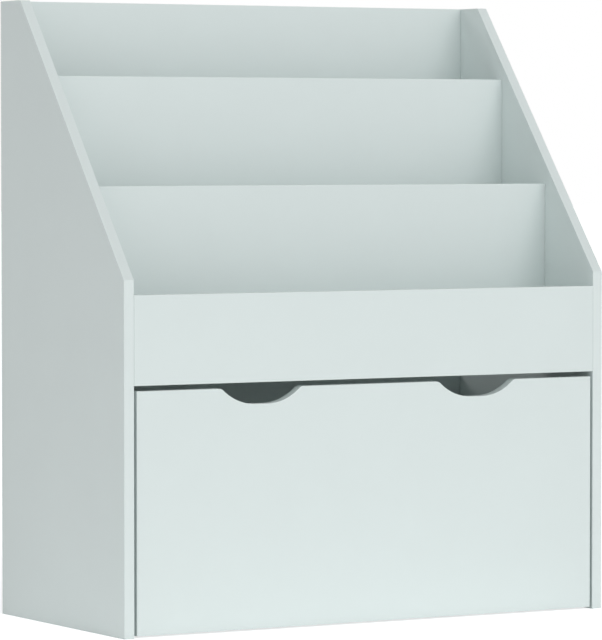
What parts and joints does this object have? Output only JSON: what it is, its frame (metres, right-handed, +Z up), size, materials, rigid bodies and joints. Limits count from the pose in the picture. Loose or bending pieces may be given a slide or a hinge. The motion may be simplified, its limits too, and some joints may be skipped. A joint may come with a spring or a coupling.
{
  "type": "bookcase with bottom drawer",
  "caption": "Stepped bookcase with sloping sides: upright panels part its book pockets, above a bay with a roll-out drawer on castors whose front has finger cut-outs.",
  "frame": {"origin": "middle of the footprint, on the floor", "axes": "+Z up, +X to the right of someone facing the bookcase, -Y out of its front, so the drawer rolls out along -Y"},
  "size_m": [0.75, 0.358, 0.84],
  "materials": {
    "melamine": "satin pale grey-green melamine on particle board",
    "zinc_alloy": "die-cast, matt",
    "zinc_steel": "zinc plated",
    "beech": "plain fluted dowel",
    "nylon": "matt moulded"
  },
  "bodies": {
    "cabinet": {"side_panel_left": "melamine", "side_panel_right": "melamine", "lower_back_panel": "melamine", "upper_back_panel": "melamine", "fascia": "melamine", "front_pocket_floor": "melamine", "lower_tier_panel": "melamine", "middle_pocket_floor": "melamine", "upper_tier_panel": "melamine", "rear_pocket_floor": "melamine", "cam_lock_fascia_left": "zinc_alloy", "cam_lock_fascia_right": "zinc_alloy", "cam_lock_lower_tier_left": "zinc_alloy", "cam_lock_lower_tier_right": "zinc_alloy", "cam_lock_upper_tier_left": "zinc_alloy", "cam_lock_upper_tier_right": "zinc_alloy", "cam_lock_lower_back_left": "zinc_alloy", "cam_lock_lower_back_right": "zinc_alloy", "cam_lock_upper_back_left": "zinc_alloy", "cam_lock_upper_back_right": "zinc_alloy", "cam_lock_floor_front_left": "zinc_alloy", "cam_lock_floor_front_right": "zinc_alloy", "cam_lock_floor_rear_left": "zinc_alloy", "cam_lock_floor_rear_right": "zinc_alloy", "cam_bolt_fascia_left": "zinc_steel", "cam_bolt_fascia_right": "zinc_steel", "cam_bolt_lower_tier_left": "zinc_steel", "cam_bolt_lower_tier_right": "zinc_steel", "cam_bolt_upper_tier_left": "zinc_steel", "cam_bolt_upper_tier_right": "zinc_steel", "cam_bolt_lower_back_left": "zinc_steel", "cam_bolt_lower_back_right": "zinc_steel", "cam_bolt_upper_back_left": "zinc_steel", "cam_bolt_upper_back_right": "zinc_steel", "cam_bolt_floor_front_left": "zinc_steel", "cam_bolt_floor_front_right": "zinc_steel", "cam_bolt_floor_rear_left": "zinc_steel", "cam_bolt_floor_rear_right": "zinc_steel", "dowel_middle_floor_left": "beech", "dowel_middle_floor_right": "beech", "dowel_rear_floor_left": "beech", "dowel_rear_floor_right": "beech"},
    "drawer": {"drawer_front": "melamine", "drawer_side_left": "melamine", "drawer_side_right": "melamine", "drawer_back": "melamine", "drawer_bottom": "melamine", "castor_bracket_front_left": "zinc_steel", "castor_bracket_front_right": "zinc_steel", "castor_bracket_rear_left": "zinc_steel", "castor_bracket_rear_right": "zinc_steel", "castor_axle_front_left": "zinc_steel", "castor_axle_front_right": "zinc_steel", "castor_axle_rear_left": "zinc_steel", "castor_axle_rear_right": "zinc_steel"},
    "wheel_front_left": {"castor_wheel_front_left": "nylon"},
    "wheel_front_right": {"castor_wheel_front_right": "nylon"},
    "wheel_rear_left": {"castor_wheel_rear_left": "nylon"},
    "wheel_rear_right": {"castor_wheel_rear_right": "nylon"}
  },
  "joints": [
    {"name": "drawer_slide", "type": "slide", "parent": "cabinet", "child": "drawer", "axis": [0, -1, 0], "range_m": [0, 0.4]},
    {"name": "wheel_front_left_spin", "type": "hinge", "parent": "drawer", "child": "wheel_front_left", "pos_m": [-0.293, -0.116, 0.018], "axis": [1, 0, 0], "continuous": true},
    {"name": "wheel_front_right_spin", "type": "hinge", "parent": "drawer", "child": "wheel_front_right", "pos_m": [0.293, -0.116, 0.018], "axis": [1, 0, 0], "continuous": true},
    {"name": "wheel_rear_left_spin", "type": "hinge", "parent": "drawer", "child": "wheel_rear_left", "pos_m": [-0.293, 0.1005, 0.018], "axis": [1, 0, 0], "continuous": true},
    {"name": "wheel_rear_right_spin", "type": "hinge", "parent": "drawer", "child": "wheel_rear_right", "pos_m": [0.293, 0.1005, 0.018], "axis": [1, 0, 0], "continuous": true}
  ],
  "couplings": [
    {"joint": "wheel_front_left_spin", "follows": "drawer_slide", "rad_per_m": 55.556},
    {"joint": "wheel_front_right_spin", "follows": "drawer_slide", "rad_per_m": 55.556},
    {"joint": "wheel_rear_left_spin", "follows": "drawer_slide", "rad_per_m": 55.556},
    {"joint": "wheel_rear_right_spin", "follows": "drawer_slide", "rad_per_m": 55.556}
  ]
}
